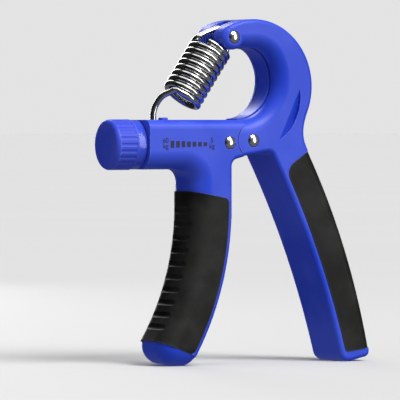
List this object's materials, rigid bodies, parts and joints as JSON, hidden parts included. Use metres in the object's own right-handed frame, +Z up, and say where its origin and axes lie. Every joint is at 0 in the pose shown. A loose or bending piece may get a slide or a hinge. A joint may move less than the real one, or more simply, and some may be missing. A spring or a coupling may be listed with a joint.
{
  "type": "hand grip strengthener",
  "caption": "Two hinged handles pulled apart by an extension spring whose anchor slides along a barrel when the end knob turns.",
  "frame": {"origin": "on the ground plane, midway along the overall length and thickness, with both handle ends standing on z = 0", "axes": "+Z up from the handle ends to the bow, +X from the adjuster knob towards the palm handle, +Y through the thickness"},
  "size_m": [0.1127, 0.0234, 0.1333],
  "materials": {
    "blue_moulding": "satin moulded",
    "knob_plastic": "satin moulded",
    "ring_gloss": "glossy",
    "grip_rubber": "matt moulded",
    "rivet_steel": "polished",
    "spring_steel": "polished, drawn",
    "plain_steel": "zinc plated",
    "brass": "turned",
    "white_nylon": "matt"
  },
  "bodies": {
    "front_handle": {"front_handle": "blue_moulding", "front_grip": "grip_rubber", "front_core_plate": "plain_steel", "link_rivet": "rivet_steel", "pivot_bush": "brass", "thrust_bush": "white_nylon", "end_bearing": "white_nylon"},
    "rear_handle": {"rear_handle": "blue_moulding", "rear_grip": "grip_rubber", "pivot_rivet": "rivet_steel", "pivot_washers": "white_nylon", "bow_rivet": "rivet_steel", "fork_sleeve": "plain_steel"},
    "adjuster": {"knob": "knob_plastic", "knob_cap": "knob_plastic", "knob_ring": "ring_gloss", "knob_screw": "plain_steel", "adjusting_screw": "plain_steel", "retaining_clip": "plain_steel"},
    "slider": {"slider_nut": "brass", "slider_saddle": "blue_moulding"},
    "lower_eye": {"hook_pin": "plain_steel"},
    "spring": {"extension_spring": "spring_steel"},
    "spring_end": {"upper_hook": "spring_steel"}
  },
  "joints": [
    {"name": "squeeze", "type": "hinge", "parent": "front_handle", "child": "rear_handle", "pos_m": [0.0029, 0, 0.08644], "axis": [0, 1, 0], "range_deg": [0, 25], "stiffness_Nm_per_rad": 8, "springref_deg": -8.59},
    {"name": "knob_turn", "type": "hinge", "parent": "front_handle", "child": "adjuster", "pos_m": [0.0029, 0, 0.08494], "axis": [1, 0, 0], "range_deg": [-2521, 0]},
    {"name": "slider_travel", "type": "slide", "parent": "front_handle", "child": "slider", "axis": [-1, 0, 0], "range_m": [-0.014, 0]},
    {"name": "spring_swing", "type": "hinge", "parent": "slider", "child": "lower_eye", "pos_m": [-0.0328, 0, 0.09204], "axis": [0, 1, 0], "range_deg": [0, 14.38]},
    {"name": "spring_aim", "type": "hinge", "parent": "lower_eye", "child": "spring", "pos_m": [-0.0127, 0, 0.08058], "axis": [0, 1, 0], "range_deg": [-17.53, 0], "deforming": ["extension_spring"]},
    {"name": "spring_stretch", "type": "slide", "parent": "spring", "child": "spring_end", "axis": [0.6211, 0, 0.7838], "range_m": [0, 0.01271], "deforming": ["extension_spring", "upper_hook"]}
  ],
  "couplings": [
    {"joint": "knob_turn", "follows": "slider_travel", "rad_per_m": 3141.6},
    {"joint": "spring_swing", "follows": "squeeze", "ratio": 0.57119},
    {"joint": "spring_aim", "follows": "slider_travel", "rad_per_m": 21.735},
    {"joint": "spring_stretch", "follows": "squeeze", "m_per_rad": 0.028901}
  ]
}
